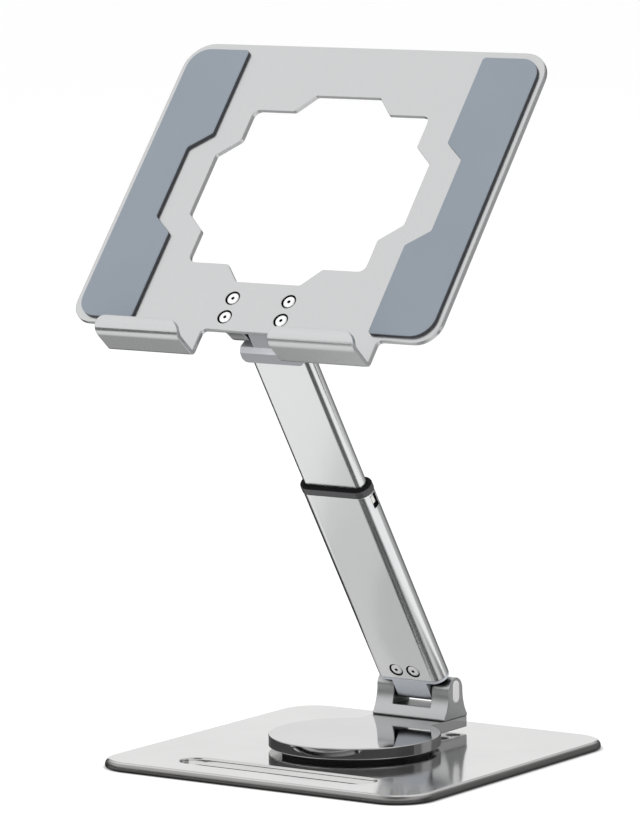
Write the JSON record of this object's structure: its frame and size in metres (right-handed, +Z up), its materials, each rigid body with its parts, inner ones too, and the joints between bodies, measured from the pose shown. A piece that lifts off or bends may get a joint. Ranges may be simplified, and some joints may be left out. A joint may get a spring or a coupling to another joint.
{
  "type": "tablet stand",
  "caption": "Desk stand with a heavy slotted base, a turntable, a telescopic flat arm on two friction hinges and a tilting padded plate with hooks for a tablet.",
  "frame": {"origin": "on the desk, under the middle of the base, on the swivel axis", "axes": "+Z up; the user sits at -Y and the arm stands at +Y and leans forward; +X is to the user's right"},
  "size_m": [0.211, 0.2058, 0.3494],
  "materials": {
    "base_steel": "fine satin, almost mirror, lacquered",
    "mirror_steel": "mirror polished",
    "hinge_alloy": "satin, bead-blasted and polished on the flare",
    "tube_aluminium": "satin anodised, drawn along its length",
    "plate_aluminium": "satin anodised",
    "knuckle_grey": "smooth satin blue-grey",
    "collar_plastic": "fine moulded texture",
    "pad_silicone": "matte silicone",
    "mat_rubber": "matte, fine anti-slip texture",
    "glide_polymer": "smooth acetal",
    "black_polymer": "smooth acetal",
    "bright_steel": "polished",
    "dark_steel": "plain turned steel"
  },
  "bodies": {
    "base": {"base_plate": "base_steel", "base_mat": "mat_rubber", "pivot_bushing": "glide_polymer", "slide_ring": "black_polymer"},
    "turntable": {"turntable": "mirror_steel", "pivot_screw": "dark_steel", "pivot_washer": "dark_steel", "lower_bracket": "hinge_alloy", "lower_bracket_screws": "dark_steel", "lower_pin": "dark_steel", "lower_pin_caps": "bright_steel", "lower_washers": "black_polymer"},
    "lower_arm": {"outer_tube": "tube_aluminium", "lower_knuckle": "knuckle_grey", "lower_knuckle_screws": "bright_steel", "collar": "collar_plastic"},
    "upper_arm": {"inner_tube": "tube_aluminium", "guide_shoe": "glide_polymer", "slide_spring": "dark_steel", "upper_knuckle": "knuckle_grey", "upper_knuckle_screws": "bright_steel"},
    "holder": {"holder_plate": "plate_aluminium", "left_pad": "pad_silicone", "right_pad": "pad_silicone", "hook_liners": "pad_silicone", "upper_bracket": "hinge_alloy", "holder_screws": "bright_steel", "upper_pin": "dark_steel", "upper_pin_caps": "bright_steel", "upper_washers": "black_polymer"}
  },
  "joints": [
    {"name": "swivel", "type": "hinge", "parent": "base", "child": "turntable", "pos_m": [0, 0, 0], "axis": [0, 0, 1], "continuous": true},
    {"name": "arm_lean", "type": "hinge", "parent": "turntable", "child": "lower_arm", "pos_m": [0, 0.0595, 0.0265], "axis": [1, 0, 0], "range_deg": [-33.75, 51]},
    {"name": "height_slide", "type": "slide", "parent": "lower_arm", "child": "upper_arm", "axis": [0, -0.5556, 0.8315], "range_m": [-0.05, 0.012]},
    {"name": "holder_tilt", "type": "hinge", "parent": "upper_arm", "child": "holder", "pos_m": [0, -0.06939, 0.2194], "axis": [-1, 0, 0], "range_deg": [-50, 50]}
  ]
}
